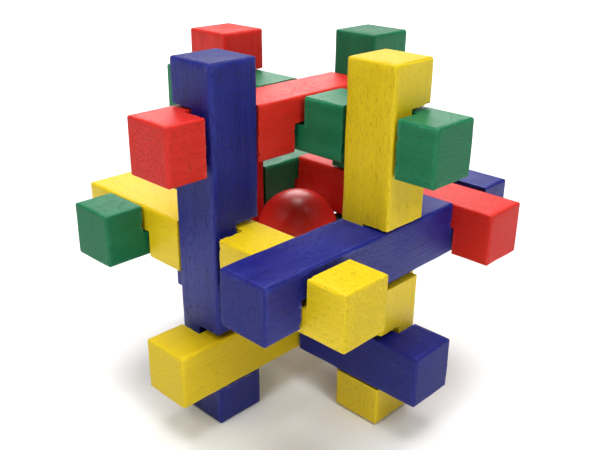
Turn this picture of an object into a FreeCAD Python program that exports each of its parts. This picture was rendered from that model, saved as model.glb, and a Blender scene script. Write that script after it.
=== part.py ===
"""Burr puzzle: a cage of twelve notched wooden bars with a loose ball inside.

Three square frames of four bars cross at right angles. The frame in the plane Y = 0 is the
outermost, the frame in the plane Z = 0 lies inside it, and the frame in the plane X = 0 lies
inside both. Wherever two bars cross, each is cut to half its width.

Millimetres, +Z up. The origin is in the middle of the cage. The front is -Y and the left is -X.
"""
import FreeCAD
import Part
import os
from math import sqrt

AXES = "XYZ"
BOX_SIZES = ("Length", "Width", "Height")

doc = FreeCAD.newDocument("BurrPuzzle")


# Driving sizes

SIZES = {
    "bar_length": 100.0,
    "bar_width": 15.0,
    "bar_spread": 30.0,     # from the middle of the cage to the middle line of a bar
    "notch_play": 2.0,      # how much longer a notch is than the bar that lies in it
    "lap_gap": 0.8,         # between the two halves that face each other in a crossing
    "edge_radius": 0.6,     # sanded edges of a bar blank
    "cutter_margin": 1.0,   # how far a notch cutter stands out of the blank
    "ball_diameter": 25.0,
    "ball_gap": 0.25,       # from the ball to the bars that it lies between
}

# Where each bar lies in the play of its notches, as shares of half that play
SHIFTS = {
    "bar_upright_left_blue": (0.2, 0.6, 0.0),
    "bar_upright_front_yellow": (-0.3, -0.4, 0.4),
    "bar_upright_back_red": (0.2, 0.0, 0.0),
    "bar_upright_right_green": (0.0, 0.2, 0.0),
    "bar_cross_top_red": (-0.6, 0.5, 0.3),
    "bar_cross_front_blue": (0.6, 0.0, 0.8),
    "bar_cross_back_green": (0.0, 0.0, -0.2),
    "bar_cross_bottom_yellow": (0.0, 0.0, -0.6),
    "bar_deep_top_green": (0.0, -0.4, 0.4),
    "bar_deep_left_yellow": (0.0, -0.3, -0.5),
    "bar_deep_right_red": (0.0, 0.3, 0.4),
    "bar_deep_bottom_blue": (-0.4, 0.0, -0.3),
}

sheet = doc.addObject("Spreadsheet::Sheet", "Sizes")


def write_size(row, alias, value):
    """One driving size: its name in column A, its number in column B."""
    sheet.set(f"A{row}", alias)
    sheet.set(f"B{row}", str(value))
    sheet.setAlias(f"B{row}", alias)


for row, (alias, value) in enumerate(SIZES.items(), start=1):
    write_size(row, alias, value)
first_shift_row = len(SIZES) + 1
shift_cells = [
    (f"{name}_shift_{axis.lower()}", shift[k])
    for name, shift in SHIFTS.items()
    for k, axis in enumerate(AXES)
]
for row, (alias, value) in enumerate(shift_cells, start=first_shift_row):
    write_size(row, alias, value)
doc.recompute()


# Bars

def place(target, offsets):
    """Binds an object's position to one expression for each axis."""
    for axis, offset in zip(AXES.lower(), offsets):
        target.setExpression(f"Placement.Base.{axis}", offset)


def cut_notch(body, along, station, side, side_sign, longer):
    """One cross notch. station is -1, 0 or 1 bar spreads from the middle of the bar.

    side is the axis that the notch opens along, and longer is how far it runs on past its
    play at its low end and at its high end, as two expressions.
    """
    cutter = body.newObject("PartDesign::SubtractiveBox", "Notch")
    across = 3 - along - side
    low_run, high_run = longer
    sizes = [None] * 3
    starts = [None] * 3
    sizes[along] = f"Sizes.bar_width + Sizes.notch_play + {low_run} + {high_run}"
    starts[along] = (
        f"{station} * Sizes.bar_spread - (Sizes.bar_width + Sizes.notch_play) / 2 - {low_run}"
    )
    sizes[side] = "(Sizes.bar_width + Sizes.lap_gap) / 2 + Sizes.cutter_margin"
    if side_sign > 0:
        starts[side] = "-Sizes.lap_gap / 2"
    else:
        starts[side] = "-Sizes.bar_width / 2 - Sizes.cutter_margin"
    sizes[across] = "Sizes.bar_width + 2 * Sizes.cutter_margin"
    starts[across] = "-Sizes.bar_width / 2 - Sizes.cutter_margin"
    for size_name, size in zip(BOX_SIZES, sizes):
        cutter.setExpression(size_name, size)
    place(cutter, starts)


def make_bar(name, along, centre, notches):
    """A square bar with sanded edges and its three cross notches.

    along is the index of the bar's own axis and centre its place in bar spreads.
    """
    body = doc.addObject("PartDesign::Body", name)
    body.Label = name
    blank = body.newObject("PartDesign::AdditiveBox", "Blank")
    for k, size_name in enumerate(BOX_SIZES):
        blank.setExpression(size_name, "Sizes.bar_length" if k == along else "Sizes.bar_width")
    place(blank, [
        "-Sizes.bar_length / 2" if k == along else "-Sizes.bar_width / 2" for k in range(3)
    ])
    doc.recompute()
    rounding = body.newObject("PartDesign::Fillet", "SandedEdges")
    rounding.Base = (blank, [f"Edge{n + 1}" for n in range(len(blank.Shape.Edges))])
    rounding.setExpression("Radius", "Sizes.edge_radius")
    for notch in notches:
        cut_notch(body, along, *notch)
    place(body, [
        f"{centre[k]} * Sizes.bar_spread + Sizes.{name}_shift_{axis.lower()} * Sizes.notch_play / 2"
        for k, axis in enumerate(AXES)
    ])
    return body


X, Y, Z = range(3)
NO_RUN = ("0", "0")
# Two notches run on by half a bar, so that the bar beside them can shift and come free
HALF_BAR_RUN = ("0", "Sizes.bar_width / 2")


def notch(station, side, side_sign, longer=NO_RUN):
    """The arguments of cut_notch for one notch."""
    return station, side, side_sign, longer


bars = [
    make_bar("bar_upright_left_blue", Z, (-1, 0, 0), [
        notch(-1, Y, -1), notch(0, X, 1), notch(1, Y, 1)]),
    make_bar("bar_upright_front_yellow", Z, (0, -1, 0), [
        notch(-1, X, -1), notch(0, Y, -1), notch(1, X, 1)]),
    make_bar("bar_upright_back_red", Z, (0, 1, 0), [
        notch(-1, X, -1), notch(0, Y, 1), notch(1, X, 1)]),
    make_bar("bar_upright_right_green", Z, (1, 0, 0), [
        notch(-1, Y, -1), notch(0, X, -1), notch(1, Y, -1)]),
    make_bar("bar_cross_top_red", X, (0, 0, 1), [
        notch(-1, Y, -1), notch(0, Z, -1, HALF_BAR_RUN), notch(1, Y, 1)]),
    make_bar("bar_cross_front_blue", X, (0, -1, 0), [
        notch(-1, Z, -1), notch(0, Y, 1), notch(1, Z, 1)]),
    make_bar("bar_cross_back_green", X, (0, 1, 0), [
        notch(-1, Z, 1), notch(0, Y, -1), notch(1, Z, -1)]),
    make_bar("bar_cross_bottom_yellow", X, (0, 0, -1), [
        notch(-1, Y, 1), notch(0, Z, 1), notch(1, Y, 1)]),
    make_bar("bar_deep_top_green", Y, (0, 0, 1), [
        notch(-1, X, -1), notch(0, Z, 1), notch(1, X, -1)]),
    make_bar("bar_deep_left_yellow", Y, (-1, 0, 0), [
        notch(-1, Z, 1), notch(0, X, -1), notch(1, Z, -1)]),
    make_bar("bar_deep_right_red", Y, (1, 0, 0), [
        notch(-1, Z, -1), notch(0, X, 1, HALF_BAR_RUN), notch(1, Z, 1)]),
    make_bar("bar_deep_bottom_blue", Y, (0, 0, -1), [
        notch(-1, X, 1), notch(0, Z, -1), notch(1, X, 1)]),
]


# Ball

def ball_seat():
    """How far along each axis the ball's middle lies, in the low corner at the right back.

    There it has the same clearance from the edges of the six bars around that corner. A ball
    too big to reach those edges lies against the bars' flat sides, and one that could pass
    between them lies in the middle of the opening.
    """
    half_width = sheet.bar_width / 2
    window = sheet.bar_spread - sheet.bar_width
    reach = sheet.ball_diameter / 2 + sheet.ball_gap
    held_by = max(0.0, 2 * reach ** 2 - window ** 2)
    inset = (window - sqrt(held_by)) / 2
    if inset < 0:
        return sheet.bar_spread - half_width - reach
    return half_width + inset


ball = doc.addObject("Part::Sphere", "ball_red")
ball.Label = "ball_red"
ball.setExpression("Radius", "Sizes.ball_diameter / 2")
seat = ball_seat()
ball.Placement = FreeCAD.Placement(FreeCAD.Vector(seat, seat, -seat), FreeCAD.Rotation())


# Checks and files

doc.recompute()
for item in doc.Objects:
    if "Invalid" in item.State or "Error" in item.State:
        raise RuntimeError(f"{item.Name} failed: {item.State}")

sub_parts = bars + [ball]
for sub_part in sub_parts:
    if sub_part.Shape.isNull() or not sub_part.Shape.isValid():
        raise RuntimeError(f"{sub_part.Label} has no valid shape")

os.makedirs("parts", exist_ok=True)
for sub_part in sub_parts:
    sub_part.Shape.exportStep(f"parts/{sub_part.Label}.step")
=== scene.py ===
# %% [markdown]
# # A painted burr puzzle
#
# Twelve square bars of painted wood cross in three directions and lock into a cage, and a
# painted ball lies loose inside. The bars are made one after the other from the same few
# steps: a blank with sanded edges, three notches with torn edges, and a few knocks.
# Painted wood looks real through its small faults, so most of the work goes into the
# ragged notch edges, the grain that shows through the paint, the worn spots, and a
# painted highlight of paler paint on the outer edges.

# %% Load the imported model
import math
import random

import bmesh
import bpy
from mathutils import Matrix, Vector, noise


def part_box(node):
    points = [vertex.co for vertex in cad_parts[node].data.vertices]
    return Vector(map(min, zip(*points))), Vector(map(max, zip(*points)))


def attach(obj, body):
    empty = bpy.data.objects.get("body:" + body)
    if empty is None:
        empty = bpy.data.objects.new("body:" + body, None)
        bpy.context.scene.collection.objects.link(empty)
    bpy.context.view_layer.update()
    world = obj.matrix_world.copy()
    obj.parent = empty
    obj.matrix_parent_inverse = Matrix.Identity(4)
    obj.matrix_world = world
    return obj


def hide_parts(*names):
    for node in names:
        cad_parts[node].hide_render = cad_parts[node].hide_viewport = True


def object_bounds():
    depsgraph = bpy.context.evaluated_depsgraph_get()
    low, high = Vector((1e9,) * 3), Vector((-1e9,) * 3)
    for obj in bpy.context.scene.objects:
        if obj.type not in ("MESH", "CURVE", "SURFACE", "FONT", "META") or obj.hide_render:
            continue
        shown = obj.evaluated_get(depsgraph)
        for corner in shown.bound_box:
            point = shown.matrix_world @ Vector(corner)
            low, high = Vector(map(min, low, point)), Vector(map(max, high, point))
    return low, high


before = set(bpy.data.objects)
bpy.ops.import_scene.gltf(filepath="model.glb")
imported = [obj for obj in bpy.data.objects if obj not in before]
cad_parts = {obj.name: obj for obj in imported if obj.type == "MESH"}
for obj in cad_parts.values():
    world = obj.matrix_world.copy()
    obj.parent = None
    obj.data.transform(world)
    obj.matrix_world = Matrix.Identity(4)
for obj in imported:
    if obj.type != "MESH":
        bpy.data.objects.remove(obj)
cad_low, cad_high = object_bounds()
print("CAD box", tuple(cad_low), tuple(cad_high))

# %% [markdown]
# ## Sizes
#
# Everything is in metres. A bar's place and length come from its CAD node. The notches
# can't be read off a box, so their sizes are named here.

# %% Sizes
MM = 0.001
BAR_WIDTH = 15 * MM
BAR_SPREAD = 30 * MM
NOTCH_PLAY = 2 * MM
LAP_GAP = 0.8 * MM
EDGE_RADIUS = 0.6 * MM
CUTTER_MARGIN = 1.5 * MM
X, Y, Z = range(3)
HALF_BAR = BAR_WIDTH / 2
TOUCHING = 0.01 * MM
print("notch length in mm", (BAR_WIDTH + NOTCH_PLAY) / MM)

# %% [markdown]
# ## The twelve bars
#
# Each bar has its own direction, and three notches. A notch is given by its station along
# the bar (-1, 0 or 1 spreads from the middle), the axis that it opens along, which way it
# opens, and how far it runs on past its play. Two notches run on by half a bar: they let
# the green key bar shift and the top of the cage come free.

# %% The bars and their notches
BARS = {
    "bar_upright_left_blue": (Z, [(-1, Y, -1, 0), (0, X, 1, 0), (1, Y, 1, 0)]),
    "bar_upright_front_yellow": (Z, [(-1, X, -1, 0), (0, Y, -1, 0), (1, X, 1, 0)]),
    "bar_upright_back_red": (Z, [(-1, X, -1, 0), (0, Y, 1, 0), (1, X, 1, 0)]),
    "bar_upright_right_green": (Z, [(-1, Y, -1, 0), (0, X, -1, 0), (1, Y, -1, 0)]),
    "bar_cross_top_red": (X, [(-1, Y, -1, 0), (0, Z, -1, HALF_BAR), (1, Y, 1, 0)]),
    "bar_cross_front_blue": (X, [(-1, Z, -1, 0), (0, Y, 1, 0), (1, Z, 1, 0)]),
    "bar_cross_back_green": (X, [(-1, Z, 1, 0), (0, Y, -1, 0), (1, Z, -1, 0)]),
    "bar_cross_bottom_yellow": (X, [(-1, Y, 1, 0), (0, Z, 1, 0), (1, Y, 1, 0)]),
    "bar_deep_top_green": (Y, [(-1, X, -1, 0), (0, Z, 1, 0), (1, X, -1, 0)]),
    "bar_deep_left_yellow": (Y, [(-1, Z, 1, 0), (0, X, -1, 0), (1, Z, -1, 0)]),
    "bar_deep_right_red": (Y, [(-1, Z, -1, 0), (0, X, 1, HALF_BAR), (1, Z, 1, 0)]),
    "bar_deep_bottom_blue": (Y, [(-1, X, 1, 0), (0, Z, -1, 0), (1, X, 1, 0)]),
}
KEY_BAR = "bar_upright_right_green"
print(len(BARS), "bars,", sum(len(notches) for _, notches in BARS.values()), "notches")

# %% [markdown]
# ## Helpers for modelling
#
# Operators act on whatever is selected, so each step starts from an empty selection, and
# picks faces, edges or points by where they are. A box is made at its full size in edit
# mode, and not by the object's own scale, so that a bevel has the same radius all round.

# %% Selection helpers
def deselect_all():
    bpy.ops.object.select_all(action="DESELECT")


def make_active(piece):
    deselect_all()
    piece.select_set(True)
    bpy.context.view_layer.objects.active = piece


def apply_modifier(piece, modifier):
    make_active(piece)
    bpy.ops.object.modifier_apply(modifier=modifier.name)


def add_box(name, low, high):
    """A box between two corners, with its place in its mesh."""
    deselect_all()
    bpy.ops.mesh.primitive_cube_add(size=1)
    piece = bpy.context.object
    piece.name = name
    middle = (low + high) / 2
    size = high - low
    bpy.ops.object.mode_set(mode="EDIT")
    bpy.ops.transform.resize(value=size)
    bpy.ops.transform.translate(value=middle)
    bpy.ops.object.mode_set(mode="OBJECT")
    return piece

# %% [markdown]
# ## The blank
#
# A bar starts as a square stick. It is divided along its length, so that its long edges
# can wander a little, and then all its edges are beveled round, as sanding leaves them.
# Real sanding is never even: the points of the rounded edges move in by a slow noise.

# %% Make a blank
LENGTH_DIVISIONS = 58
SIDE_DIVISIONS = 8
EDGE_SEGMENTS = 4
SAND_DEPTH = 0.14 * MM
SAND_SCALE = 110
SHARP_TURN = math.radians(60)
LENGTHWISE_FROM = 0.9
NEAR_EDGE = EDGE_RADIUS * 0.99
SAND_EVERYWHERE = 0.25


def divide_edges(piece, along, lengthwise, cuts):
    """Divides the edges that run along the bar, or all the others."""
    bpy.ops.mesh.select_all(action="DESELECT")
    mesh = bmesh.from_edit_mesh(piece.data)
    for edge in mesh.edges:
        run = (edge.verts[1].co - edge.verts[0].co).normalized()
        edge.select_set((abs(run[along]) > LENGTHWISE_FROM) == lengthwise)
    bpy.ops.mesh.subdivide(number_cuts=cuts)


def make_blank(name, along, low, high, seed):
    piece = add_box(name, low, high)
    bpy.ops.object.mode_set(mode="EDIT")
    divide_edges(piece, along, True, LENGTH_DIVISIONS)
    divide_edges(piece, along, False, SIDE_DIVISIONS)
    mesh = bmesh.from_edit_mesh(piece.data)
    bpy.ops.mesh.select_all(action="DESELECT")
    for edge in mesh.edges:
        edge.select_set(edge.calc_face_angle(0) > SHARP_TURN)
    bpy.ops.mesh.bevel(offset=EDGE_RADIUS, segments=EDGE_SEGMENTS, affect="EDGES")
    bpy.ops.object.mode_set(mode="OBJECT")
    sand_unevenly(piece, low, high, seed)
    return piece


def sand_unevenly(piece, low, high, seed):
    """Moves the points of the rounded edges in towards the bar's middle line."""
    for point in piece.data.vertices:
        near = [
            min(point.co[k] - low[k], high[k] - point.co[k]) < NEAR_EDGE for k in range(3)
        ]
        if sum(near) < 2:
            continue
        place = point.co * SAND_SCALE + Vector((seed, seed * 0.7, 0))
        depth = SAND_DEPTH * max(0.0, noise.noise(place) + SAND_EVERYWHERE)
        for k in range(3):
            if near[k]:
                inward = 1 if point.co[k] < (low[k] + high[k]) / 2 else -1
                point.co[k] += inward * depth

# %% [markdown]
# ## The notches
#
# A notch sawn across the grain tears out fibres, so its outline is ragged. The cutter is a
# box with a fine grid on every side. Each grid point of its two end walls gets a tooth,
# mostly a short one. A slow noise picks the few places where the wood tore out, with deep
# bites and long teeth, and the rest of the edge stays clean. The floor gets shallow grooves.
# A Boolean takes the cutter out of the blank, and leaves the torn edge as real shape.

# %% Make a ragged cutter
CUTTER_DIVISIONS = 22
SHORT_TOOTH = 0.09 * MM
LONG_TOOTH = 0.8 * MM
LONG_TOOTH_SHARE = 0.25
TORN_ABOVE = 0.22
SCALLOP = 0.5 * MM
SCALLOP_SCALE = 260
FLOOR_GROOVE = 0.12 * MM
GROOVE_WIDTH = 0.1 * MM
GROOVE_SHARE = 0.6
FLOOR_ROUGHNESS = 0.3


def notch_box(along, centre, station, side, sign, run_on):
    """The corners of one notch's cutter."""
    half_length = (BAR_WIDTH + NOTCH_PLAY) / 2
    low = centre - Vector((1, 1, 1)) * (HALF_BAR + CUTTER_MARGIN)
    high = centre + Vector((1, 1, 1)) * (HALF_BAR + CUTTER_MARGIN)
    low[along] = centre[along] + station * BAR_SPREAD - half_length
    high[along] = centre[along] + station * BAR_SPREAD + half_length + run_on
    if sign > 0:
        low[side] = centre[side] - LAP_GAP / 2
    else:
        high[side] = centre[side] + LAP_GAP / 2
    return low, high


def make_cutter(along, low, high, side, sign, draw):
    cutter = add_box("cutter", low, high)
    bpy.ops.object.mode_set(mode="EDIT")
    bpy.ops.mesh.select_all(action="SELECT")
    bpy.ops.mesh.subdivide(number_cuts=CUTTER_DIVISIONS)
    bpy.ops.object.mode_set(mode="OBJECT")
    floor = low[side] if sign > 0 else high[side]
    across = 3 - along - side
    grooves = {}
    for point in cutter.data.vertices:
        at_low_wall = point.co[along] - low[along] < TOUCHING
        at_high_wall = high[along] - point.co[along] < TOUCHING
        on_floor = abs(point.co[side] - floor) < TOUCHING
        if at_low_wall or at_high_wall:
            tooth = draw.uniform(-SHORT_TOOTH, SHORT_TOOTH)
            torn = noise.noise(point.co * SCALLOP_SCALE) - TORN_ABOVE
            tooth += SCALLOP * max(0.0, torn)
            if torn > 0 and draw.random() < LONG_TOOTH_SHARE:
                tooth = draw.uniform(SHORT_TOOTH, LONG_TOOTH)
            point.co[along] += -tooth if at_low_wall else tooth
        elif on_floor:
            strip = round(point.co[across] / GROOVE_WIDTH)
            groove = grooves.setdefault(strip, draw.uniform(-FLOOR_GROOVE, FLOOR_GROOVE))
            rough = draw.uniform(-FLOOR_ROUGHNESS, FLOOR_ROUGHNESS) * FLOOR_GROOVE
            point.co[side] += groove * GROOVE_SHARE + rough
    return cutter


def join(pieces):
    """Joins several pieces into the first."""
    make_active(pieces[0])
    for piece in pieces:
        piece.select_set(True)
    bpy.ops.object.join()
    return pieces[0]


def cut(piece, cutter):
    """Takes the cutter out of the piece."""
    modifier = piece.modifiers.new("notch", "BOOLEAN")
    modifier.operation = "DIFFERENCE"
    modifier.solver = "EXACT"
    modifier.object = cutter
    apply_modifier(piece, modifier)
    bpy.data.objects.remove(cutter)


print("teeth along a notch wall every", round(BAR_WIDTH / MM / CUTTER_DIVISIONS, 2), "mm or so")

# %% [markdown]
# ## Knocks
#
# A used puzzle has small dents on its edges and corners. Each is the bite of a rough pebble
# that sits on an edge of the bar, with only a little of it inside the wood.

# %% Make a knock
KNOCKS_PER_BAR = 13
KNOCK_RADIUS = (0.25 * MM, 0.8 * MM)
KNOCK_BITE = 0.3
KNOCK_STRETCH = 1.9
KNOCK_ROUGHNESS = 0.25


def make_knock(along, low, high, slot, draw):
    """A rough pebble on an edge, in one of the equal slots that the bar's length is split in.

    One pebble to a slot keeps them apart, because pebbles that cross spoil the Boolean.
    """
    radius = draw.uniform(*KNOCK_RADIUS)
    place = Vector(draw.uniform(low[k], high[k]) for k in range(3))
    slot_length = (high[along] - low[along]) / KNOCKS_PER_BAR
    place[along] = low[along] + slot_length * (slot + draw.uniform(0.4, 0.6))
    inset = EDGE_RADIUS * 0.3 - radius * (1 - KNOCK_BITE)
    sides = [k for k in range(3) if k != along]
    if slot == 0 or slot == KNOCKS_PER_BAR - 1:
        sides.pop(draw.randrange(2))
        place[along] = low[along] + inset if slot == 0 else high[along] - inset
    for k in sides:
        place[k] = low[k] + inset if draw.random() < 0.5 else high[k] - inset
    deselect_all()
    bpy.ops.mesh.primitive_ico_sphere_add(subdivisions=2, radius=radius)
    pebble = bpy.context.object
    bpy.ops.object.mode_set(mode="EDIT")
    bpy.ops.transform.vertex_random(offset=radius * KNOCK_ROUGHNESS, seed=draw.randrange(10000))
    bpy.ops.transform.resize(value=[KNOCK_STRETCH if k == along else 1.0 for k in range(3)])
    bpy.ops.transform.translate(value=place)
    bpy.ops.object.mode_set(mode="OBJECT")
    return pebble


print(KNOCKS_PER_BAR, "knocks a bar")

# %% [markdown]
# ## Worn paint and painted edge highlights
#
# The outer edges get a painted highlight, paler paint where the light catches them, and the
# paint breaks off where fibres tore. The piece keeps one number on each point for both: how
# sharply the surface turns outwards there. The materials read it as an attribute, so the
# wear and the painted highlight follow the shape from every side.

# %% Mark the edges for wear and painted highlight
WEAR_AND_HIGHLIGHT = "wear_and_highlight"
WEAR_AND_HIGHLIGHT_FROM = math.radians(18)
WEAR_AND_HIGHLIGHT_FULL = math.radians(75)


def mark_wear_and_highlight(piece):
    mesh = bmesh.new()
    mesh.from_mesh(piece.data)
    values = []
    for point in mesh.verts:
        turns = [
            edge.calc_face_angle_signed(0) for edge in point.link_edges if len(edge.link_faces) == 2
        ]
        sharpest = max(turns, default=0)
        values.append(min(1.0, max(0.0, (sharpest - WEAR_AND_HIGHLIGHT_FROM) / (WEAR_AND_HIGHLIGHT_FULL - WEAR_AND_HIGHLIGHT_FROM))))
    mesh.free()
    attribute = piece.data.attributes.new(WEAR_AND_HIGHLIGHT, "FLOAT", "POINT")
    attribute.data.foreach_set("value", values)


print("worn from a turn of", round(math.degrees(WEAR_AND_HIGHLIGHT_FROM)), "degrees")

# %% [markdown]
# ## Building all the bars
#
# The blank, its notches and its knocks make one bar. Each bar has its own seed, so no two
# have the same teeth.

# %% Build the bars
SMOOTH_BELOW = math.radians(38)


def make_bar(node, along, notches, seed):
    draw = random.Random(seed)
    low, high = (Vector(corner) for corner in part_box(node))
    centre = (low + high) / 2
    piece = make_blank(node.replace("bar_", "painted_"), along, low, high, seed)
    cutters = []
    for station, side, sign, run_on in notches:
        cutter_low, cutter_high = notch_box(along, centre, station, side, sign, run_on)
        cutters.append(make_cutter(along, cutter_low, cutter_high, side, sign, draw))
    cut(piece, join(cutters))
    knocks = [make_knock(along, low, high, slot, draw) for slot in range(KNOCKS_PER_BAR)]
    cut(piece, join(knocks))
    mark_wear_and_highlight(piece)
    make_active(piece)
    bpy.ops.object.shade_smooth_by_angle(angle=SMOOTH_BELOW)
    return piece


bars = {}
for number, (node, (along, notches)) in enumerate(BARS.items()):
    bars[node] = make_bar(node, along, notches, seed=100 + number)
    made_low, made_high = bars[node].bound_box[0], bars[node].bound_box[6]
    made_size = [round((made_high[k] - made_low[k]) / MM, 1) for k in range(3)]
    print(node, len(bars[node].data.polygons), "faces, size in mm", made_size)

# %% [markdown]
# ## The ball
#
# A turned wooden ball is never quite round. It starts as a cube, divided and cast to a
# sphere, so that it has no poles, and a soft noise moves its surface by a few hundredths
# of a millimetre.

# %% Build the ball
BALL_DIVISIONS = 40
BALL_UNEVEN = 0.05 * MM
BALL_NOISE_SCALE = 160

ball_low, ball_high = (Vector(corner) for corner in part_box("ball_red"))
ball_centre = (ball_low + ball_high) / 2
ball_radius = (ball_high - ball_low)[Z] / 2
ball = add_box("painted_ball", -Vector((1, 1, 1)) * ball_radius, Vector((1, 1, 1)) * ball_radius)
bpy.ops.object.mode_set(mode="EDIT")
bpy.ops.mesh.select_all(action="SELECT")
bpy.ops.mesh.subdivide(number_cuts=BALL_DIVISIONS)
bpy.ops.transform.tosphere(value=1)
bpy.ops.object.mode_set(mode="OBJECT")
for point in ball.data.vertices:
    outward = point.co.normalized()
    uneven = BALL_UNEVEN * (noise.noise(outward * BALL_NOISE_SCALE * ball_radius) - 1)
    point.co = ball_centre + outward * (ball_radius + uneven)
bpy.ops.object.shade_smooth()
print("ball radius in mm", round(ball_radius / MM, 2))

# %% [markdown]
# ## Shared shader groups
#
# Four effects are used by every paint. *Wood grain* gives long fibres along one axis and
# fine pores, *end grain* gives the speckle of a sawn end, the worn edge group turns the edge
# number into broken patches of painted highlight and of bare wood, and *hand marks* gives
# the faint smears of a handled toy. A group gives out only values, and each paint decides
# what to do with them.

# %% Node helpers
def new_group(name, inputs, outputs):
    """A shader group with named value or vector sockets."""
    group = bpy.data.node_groups.new(name, "ShaderNodeTree")
    for socket, kind, default in inputs:
        made = group.interface.new_socket(socket, in_out="INPUT", socket_type=kind)
        made.default_value = default
    for socket in outputs:
        group.interface.new_socket(socket, in_out="OUTPUT", socket_type="NodeSocketFloat")
    return group, group.nodes.new("NodeGroupInput"), group.nodes.new("NodeGroupOutput")


def add_node(tree, kind, values=None, **settings):
    """A node with its settings and the values of its inputs."""
    node = tree.nodes.new(kind)
    for name, value in settings.items():
        setattr(node, name, value)
    for name, value in (values or {}).items():
        node.inputs[name].default_value = value
    return node


def math_node(tree, operation, first, second=None, clamp=False):
    """A Math node fed by sockets or numbers. Gives its output."""
    node = add_node(tree, "ShaderNodeMath", operation=operation, use_clamp=clamp)
    for socket, value in zip(node.inputs, (first, second)):
        if value is None:
            continue
        if isinstance(value, bpy.types.NodeSocket):
            tree.links.new(value, socket)
        else:
            socket.default_value = value
    return node.outputs[0]


def ramp(tree, value, low, high):
    """Stretches the values between low and high over 0 to 1."""
    node = add_node(tree, "ShaderNodeMapRange", {"From Min": low, "From Max": high})
    tree.links.new(value, node.inputs["Value"])
    return node.outputs["Result"]


def scaled(tree, vector, scale):
    """A vector times a fixed scale for each axis."""
    node = add_node(tree, "ShaderNodeVectorMath", operation="MULTIPLY")
    tree.links.new(vector, node.inputs[0])
    node.inputs[1].default_value = scale
    return node.outputs[0]


def noise_of(tree, vector, scale, detail, rough=0.6):
    node = add_node(tree, "ShaderNodeTexNoise", {"Scale": scale, "Detail": detail, "Roughness": rough})
    tree.links.new(vector, node.inputs["Vector"])
    return node.outputs["Fac"]

# %% [markdown]
# ### Grain
#
# Fibres, pores and bands are the same noise, stretched along the bar by different amounts.
# The end of a bar shows cut fibres instead, so it gets a fine speckle with no direction,
# and faint curved rings.

# %% Wood grain and end grain
VECTOR = "NodeSocketVector"
NUMBER = "NodeSocketFloat"

# The grain groups take a place whose X runs along the fibres.
grain, grain_in, grain_out = new_group(
    "wood_grain", [("Place", VECTOR, (0, 0, 0))], ["Fibres", "Pores", "Bands"]
)
place = grain_in.outputs["Place"]
fibres = noise_of(grain, scaled(grain, place, (60, 1500, 1500)), 1, 5, 0.7)
grain.links.new(ramp(grain, fibres, 0.3, 0.7), grain_out.inputs["Fibres"])
pores = noise_of(grain, scaled(grain, place, (760, 2400, 2400)), 1, 3, 0.6)
grain.links.new(ramp(grain, pores, 0.58, 0.70), grain_out.inputs["Pores"])
bands = noise_of(grain, scaled(grain, place, (14, 210, 210)), 1, 3, 0.5)
grain.links.new(ramp(grain, bands, 0.35, 0.65), grain_out.inputs["Bands"])

end_grain, end_in, end_out = new_group(
    "end_grain", [("Place", VECTOR, (0, 0, 0))], ["Speckle", "Rings"]
)
place = end_in.outputs["Place"]
speckle = noise_of(end_grain, scaled(end_grain, place, (2100, 2100, 2100)), 1, 3, 0.7)
end_grain.links.new(ramp(end_grain, speckle, 0.46, 0.64), end_out.inputs["Speckle"])
rings = add_node(
    end_grain, "ShaderNodeTexWave", {"Scale": 300, "Distortion": 7, "Detail": 3, "Detail Scale": 1.5},
    wave_type="RINGS", rings_direction="X",
)
end_grain.links.new(place, rings.inputs["Vector"])
end_grain.links.new(rings.outputs["Fac"], end_out.inputs["Rings"])
print("groups", grain.name, end_grain.name)

# %% [markdown]
# ### Wear, painted edge highlight and smears
#
# The edge number is smooth, and real wear and highlights are broken, so a noise decides
# where they show. One output is a painted highlight, paler paint on the outer edges, and
# *Bare* is worn paint with wood that shows through.

# %% Worn edge with painted highlight, and hand marks
worn_and_highlit, worn_in, worn_out = new_group(
    "worn_and_highlit_edge", [("Place", VECTOR, (0, 0, 0)), ("Turn", NUMBER, 0.0)], ["Thin", "Bare"]
)
place = worn_in.outputs["Place"]
patches = noise_of(worn_and_highlit, scaled(worn_and_highlit, place, (420, 420, 420)), 1, 4, 0.65)
# Painted highlight: paler paint in broken patches on the outer edges.
edge_highlight = math_node(worn_and_highlit, "MULTIPLY", worn_in.outputs["Turn"], ramp(worn_and_highlit, patches, 0.35, 0.7))
worn_and_highlit.links.new(edge_highlight, worn_out.inputs["Thin"])
bare_patches = ramp(worn_and_highlit, noise_of(worn_and_highlit, scaled(worn_and_highlit, place, (950, 950, 950)), 1, 3, 0.6), 0.58, 0.68)
bare = math_node(worn_and_highlit, "MULTIPLY", ramp(worn_and_highlit, worn_in.outputs["Turn"], 0.5, 0.9), bare_patches)
worn_and_highlit.links.new(bare, worn_out.inputs["Bare"])

marks, marks_in, marks_out = new_group("hand_marks", [("Place", VECTOR, (0, 0, 0))], ["Smears"])
place = marks_in.outputs["Place"]
smears = noise_of(marks, scaled(marks, place, (90, 90, 90)), 1, 5, 0.6)
marks.links.new(ramp(marks, smears, 0.35, 0.7), marks_out.inputs["Smears"])
print("groups", worn_and_highlit.name, marks.name)

# %% [markdown]
# ## The paints
#
# One thin coat of satin paint lies on each bar. The fibres show through it as fine darker
# lines, and the sawn ends drink more paint and look speckled. The outer edges are painted
# paler, as a painted highlight. Each bar gets its own copy of its paint, because the grain
# has to run along that bar. For each colour, pores and speckle say how strongly those two
# faults show, and edge says how strongly the painted edge highlight shows.

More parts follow.
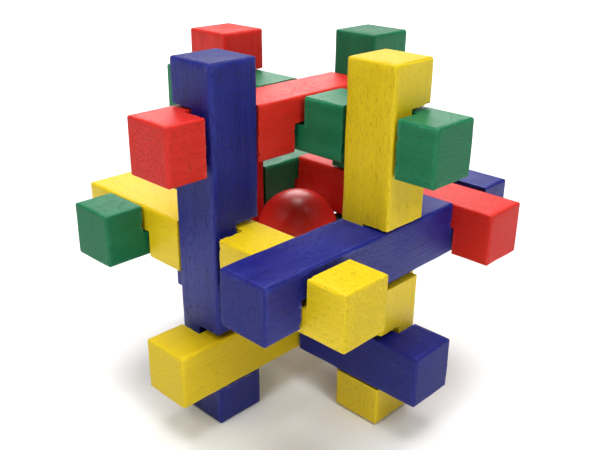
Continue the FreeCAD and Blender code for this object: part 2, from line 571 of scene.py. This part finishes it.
# %% Make a paint
# edge: the strength of the painted edge highlight, paler paint on the outer edges.
PAINTS = {
    "blue": dict(
        paint=(0.002, 0.004, 0.17), pale=(0.06, 0.09, 0.50), dark=(0.001, 0.001, 0.025),
        pores=0.85, speckle=0.5, edge=0.8,
    ),
    "yellow": dict(
        paint=(0.80, 0.57, 0.001), pale=(0.98, 0.80, 0.04), dark=(0.36, 0.22, 0.001),
        pores=0.26, speckle=0.26, edge=0.3,
    ),
    "red": dict(
        paint=(0.70, 0.012, 0.006), pale=(0.88, 0.09, 0.05), dark=(0.26, 0.003, 0.002),
        pores=0.35, speckle=0.35, edge=0.35,
    ),
    "green": dict(
        paint=(0.003, 0.165, 0.062), pale=(0.06, 0.40, 0.20), dark=(0.001, 0.040, 0.015),
        pores=0.55, speckle=0.45, edge=0.4,
    ),
}
BARE_WOOD = (0.78, 0.62, 0.40, 1)
FIBRE_SHARE = 0.22
BAND_SHARE = 0.12
RING_SHARE = 0.10
SMEAR_SHARE = 0.10
BARE_SHARE = 0.25
PAINT_ROUGHNESS = 0.36
SMEAR_ROUGHNESS = 0.14
END_ROUGHNESS = 0.16
PAINT_SPECULAR = 0.28
FIBRE_HEIGHT = 0.5
SPECKLE_DEPTH = 1.3
# Turns of a place so that its X runs along the bar
FIBRE_TURNS = {X: (0, 0, 0), Y: (0, 0, -math.pi / 2), Z: (0, math.pi / 2, 0)}


def mix_colour(tree, factor, first, second, blend="MIX"):
    """Mixes two colours, each a socket or a plain colour, by a factor."""
    node = add_node(tree, "ShaderNodeMix", data_type="RGBA", blend_type=blend)
    for socket, value in ((node.inputs[0], factor), (node.inputs[6], first), (node.inputs[7], second)):
        if isinstance(value, bpy.types.NodeSocket):
            tree.links.new(value, socket)
        else:
            socket.default_value = value
    return node.outputs[2]


def place_group(tree, group, **links):
    node = add_node(tree, "ShaderNodeGroup", node_tree=group)
    for name, socket in links.items():
        tree.links.new(socket, node.inputs[name])
    return node.outputs


def make_paint(name, colours, along):
    """One bar's paint, with its grain along the bar."""
    material = bpy.data.materials.new(name)
    material.use_nodes = True
    tree = material.node_tree
    shader = tree.nodes["Principled BSDF"]
    coordinates = tree.nodes.new("ShaderNodeTexCoord")
    turned = add_node(tree, "ShaderNodeMapping", vector_type="POINT")
    turned.inputs["Rotation"].default_value = FIBRE_TURNS[along]
    tree.links.new(coordinates.outputs["Object"], turned.inputs["Vector"])
    fibre_place = turned.outputs["Vector"]

    facing = add_node(tree, "ShaderNodeSeparateXYZ")
    tree.links.new(coordinates.outputs["Normal"], facing.inputs[0])
    on_end = ramp(tree, math_node(tree, "ABSOLUTE", facing.outputs[along]), 0.6, 0.9)
    wear_and_highlight = add_node(tree, "ShaderNodeAttribute", attribute_name=WEAR_AND_HIGHLIGHT).outputs["Fac"]

    wood = place_group(tree, grain, Place=fibre_place)
    ends = place_group(tree, end_grain, Place=fibre_place)
    wear_and_highlight_patches = place_group(tree, worn_and_highlit, Place=fibre_place, Turn=wear_and_highlight)
    smear = place_group(tree, marks, Place=fibre_place)["Smears"]

    paint, pale, dark = ((*colours[key], 1) for key in ("paint", "pale", "dark"))
    side_dark = math_node(tree, "MULTIPLY", wood["Pores"], colours["pores"])
    fibre_dark = math_node(tree, "MULTIPLY", wood["Fibres"], FIBRE_SHARE)
    colour = mix_colour(tree, fibre_dark, paint, dark)
    band_pale = math_node(tree, "MULTIPLY", wood["Bands"], BAND_SHARE)
    colour = mix_colour(tree, band_pale, colour, pale)
    colour = mix_colour(tree, side_dark, colour, dark)
    end_dark = math_node(tree, "MULTIPLY", ends["Speckle"], colours["speckle"])
    end_colour = mix_colour(tree, end_dark, paint, dark)
    ring_pale = math_node(tree, "MULTIPLY", ends["Rings"], RING_SHARE)
    end_colour = mix_colour(tree, ring_pale, end_colour, pale)
    colour = mix_colour(tree, on_end, colour, end_colour)
    smeared = math_node(tree, "MULTIPLY", smear, SMEAR_SHARE)
    colour = mix_colour(tree, smeared, colour, pale)
    # Painted highlight: the outer edges are mixed towards the pale colour.
    painted_edge_highlight = math_node(tree, "MULTIPLY", wear_and_highlight_patches["Thin"], colours["edge"])
    colour = mix_colour(tree, painted_edge_highlight, colour, pale)
    stripped = math_node(tree, "MULTIPLY", wear_and_highlight_patches["Bare"], BARE_SHARE)
    colour = mix_colour(tree, stripped, colour, BARE_WOOD)
    tree.links.new(colour, shader.inputs["Base Color"])

    shader.inputs["Specular IOR Level"].default_value = PAINT_SPECULAR
    rough = math_node(tree, "MULTIPLY_ADD", smear, SMEAR_ROUGHNESS)
    rough.node.inputs[2].default_value = PAINT_ROUGHNESS
    end_rough = math_node(tree, "MULTIPLY", on_end, END_ROUGHNESS)
    rough = math_node(tree, "ADD", rough, end_rough, clamp=True)
    tree.links.new(rough, shader.inputs["Roughness"])

    fibre_relief = math_node(tree, "MULTIPLY", wood["Fibres"], FIBRE_HEIGHT)
    relief = math_node(tree, "SUBTRACT", fibre_relief, wood["Pores"])
    end_relief = math_node(tree, "MULTIPLY", ends["Speckle"], -SPECKLE_DEPTH)
    height = add_node(tree, "ShaderNodeMix", data_type="FLOAT")
    tree.links.new(on_end, height.inputs[0])
    tree.links.new(relief, height.inputs[2])
    tree.links.new(end_relief, height.inputs[3])
    bump = add_node(tree, "ShaderNodeBump", {"Strength": 0.8, "Distance": 0.00018})
    tree.links.new(height.outputs[0], bump.inputs["Height"])
    tree.links.new(bump.outputs["Normal"], shader.inputs["Normal"])
    return material


print("paints", ", ".join(PAINTS))

# %% [markdown]
# ### Painting the bars
#
# A bar's node name ends in its colour. Each painted bar takes the place of its CAD node,
# and rides on the body that moves it: the key bar slides, and the others are the cage.

# %% Paint the bars
for node, (along, _) in BARS.items():
    piece = bars[node]
    colour_name = node.rsplit("_", 1)[1]
    piece.data.materials.clear()
    piece.data.materials.append(
        make_paint(f"{colour_name}_paint_{node}", PAINTS[colour_name], along)
    )
    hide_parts(node)
    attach(piece, "key_bar" if node == KEY_BAR else "cage")
    print(piece.name, "is", colour_name)

# %% [markdown]
# ## The ball's lacquer
#
# The ball is dipped, not brushed, so its red is smoother and glossier than the bars', with
# only a faint ripple and a few specks under the gloss.

# %% Paint the ball
BALL_RED = (0.78, 0.020, 0.012, 1)
BALL_SHADE = (0.50, 0.008, 0.005, 1)
BALL_SPECK = (0.9, 0.25, 0.2, 1)
lacquer = bpy.data.materials.new("red_ball_lacquer")
lacquer.use_nodes = True
tree = lacquer.node_tree
shader = tree.nodes["Principled BSDF"]
coordinates = tree.nodes.new("ShaderNodeTexCoord")
smear = place_group(tree, marks, Place=coordinates.outputs["Object"])["Smears"]
specks = place_group(tree, end_grain, Place=coordinates.outputs["Object"])["Speckle"]
colour = mix_colour(tree, math_node(tree, "MULTIPLY", smear, 0.25), BALL_RED, BALL_SHADE)
colour = mix_colour(tree, math_node(tree, "MULTIPLY", specks, 0.06), colour, BALL_SPECK)
tree.links.new(colour, shader.inputs["Base Color"])
rough = math_node(tree, "MULTIPLY_ADD", smear, 0.10)
rough.node.inputs[2].default_value = 0.32
tree.links.new(rough, shader.inputs["Roughness"])
shader.inputs["Coat Weight"].default_value = 0.25
shader.inputs["Coat Roughness"].default_value = 0.24
ripple = add_node(tree, "ShaderNodeBump", {"Strength": 0.25, "Distance": 0.0001})
tree.links.new(smear, ripple.inputs["Height"])
tree.links.new(ripple.outputs["Normal"], shader.inputs["Normal"])
ball.data.materials.append(lacquer)
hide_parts("ball_red")
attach(ball, "ball")
print("ball painted with", lacquer.name)

# %% [markdown]
# ## Floor and light
#
# A sheet of white paper under soft lights, as for a catalogue. It lies under the lowest
# bar ends.

# %% Floor
FLOOR_SIZE = 6.0
deselect_all()
bpy.ops.mesh.primitive_plane_add(size=FLOOR_SIZE, location=(0, 0, cad_low[Z]))
floor = bpy.context.object
floor.name = "floor"
paper = bpy.data.materials.new("white_paper")
paper.use_nodes = True
paper.node_tree.nodes["Principled BSDF"].inputs["Base Color"].default_value = (0.90, 0.90, 0.90, 1)
paper.node_tree.nodes["Principled BSDF"].inputs["Roughness"].default_value = 0.9
floor.data.materials.append(paper)
print("floor at", round(cad_low[Z] / MM, 1), "mm")

# %% [markdown]
# ### Lights
#
# The top softbox is large and far, so the floor is evenly bright. The one behind gives the
# pale shine on the top faces and the ball. The two in front light the two near sides, the
# left one a little less. The sky is white to the camera and dim to the puzzle, because a
# bright sky all round would wash out the colours.

# %% Lights
def add_softbox(name, place, size, power):
    """A square area light that faces the middle of the puzzle."""
    light = bpy.data.lights.new(name, "AREA")
    light.size = size
    light.energy = power
    holder = bpy.data.objects.new(name, light)
    holder.location = place
    holder.rotation_mode = "QUATERNION"
    holder.rotation_quaternion = (-Vector(place)).to_track_quat("-Z", "Y")
    bpy.context.scene.collection.objects.link(holder)


add_softbox("top_softbox", (0.1, 0.1, 2.4), 1.8, 66.0)
add_softbox("back_softbox", (0.75, 0.75, 0.6), 0.7, 7.0)
add_softbox("left_softbox", (-0.85, -0.1, 0.85), 0.4, 3.6)
add_softbox("right_softbox", (-0.2, -0.9, 0.85), 0.4, 4.4)

sky = bpy.data.worlds.new("studio")
sky.use_nodes = True
backdrop = sky.node_tree.nodes["Background"]
backdrop.inputs["Color"].default_value = (1, 1, 1, 1)
seen_by_camera = sky.node_tree.nodes.new("ShaderNodeLightPath").outputs["Is Camera Ray"]
brightness = add_node(sky.node_tree, "ShaderNodeMapRange", {"To Min": 0.14, "To Max": 1.0})
sky.node_tree.links.new(seen_by_camera, brightness.inputs["Value"])
sky.node_tree.links.new(brightness.outputs["Result"], backdrop.inputs["Strength"])
bpy.context.scene.world = sky
print("lights", [light.name for light in bpy.data.lights])
bpy.context.scene.view_settings.view_transform = "Standard"

# %% [markdown]
# ## Camera
#
# The camera looks a little down at the corner between the front and the left, from close
# by, so that the near bars look clearly larger than the far ones.

# %% Camera
CAMERA_DISTANCE = 0.2242
CAMERA_AZIMUTH = math.radians(-46.34)
CAMERA_ELEVATION = math.radians(23.09)
CAMERA_ROLL = math.radians(0.7)
CAMERA_SIDESTEP = Vector((0.4, -2.7, 0)) * MM
CAMERA_LENS = 46.3

camera_data = bpy.data.cameras.new("camera")
camera_data.lens = CAMERA_LENS
camera_data.sensor_width = 36
camera_data.clip_start = 0.01
camera = bpy.data.objects.new("camera", camera_data)
turn = Matrix.Rotation(CAMERA_AZIMUTH, 4, "Z") @ Matrix.Rotation(math.pi / 2 - CAMERA_ELEVATION, 4, "X")
turn = turn @ Matrix.Rotation(CAMERA_ROLL, 4, "Z")
camera.matrix_world = turn @ Matrix.Translation(CAMERA_SIDESTEP + Vector((0, 0, CAMERA_DISTANCE)))
bpy.context.scene.collection.objects.link(camera)
bpy.context.scene.camera = camera
print("camera at", tuple(round(value, 3) for value in camera.matrix_world.translation))
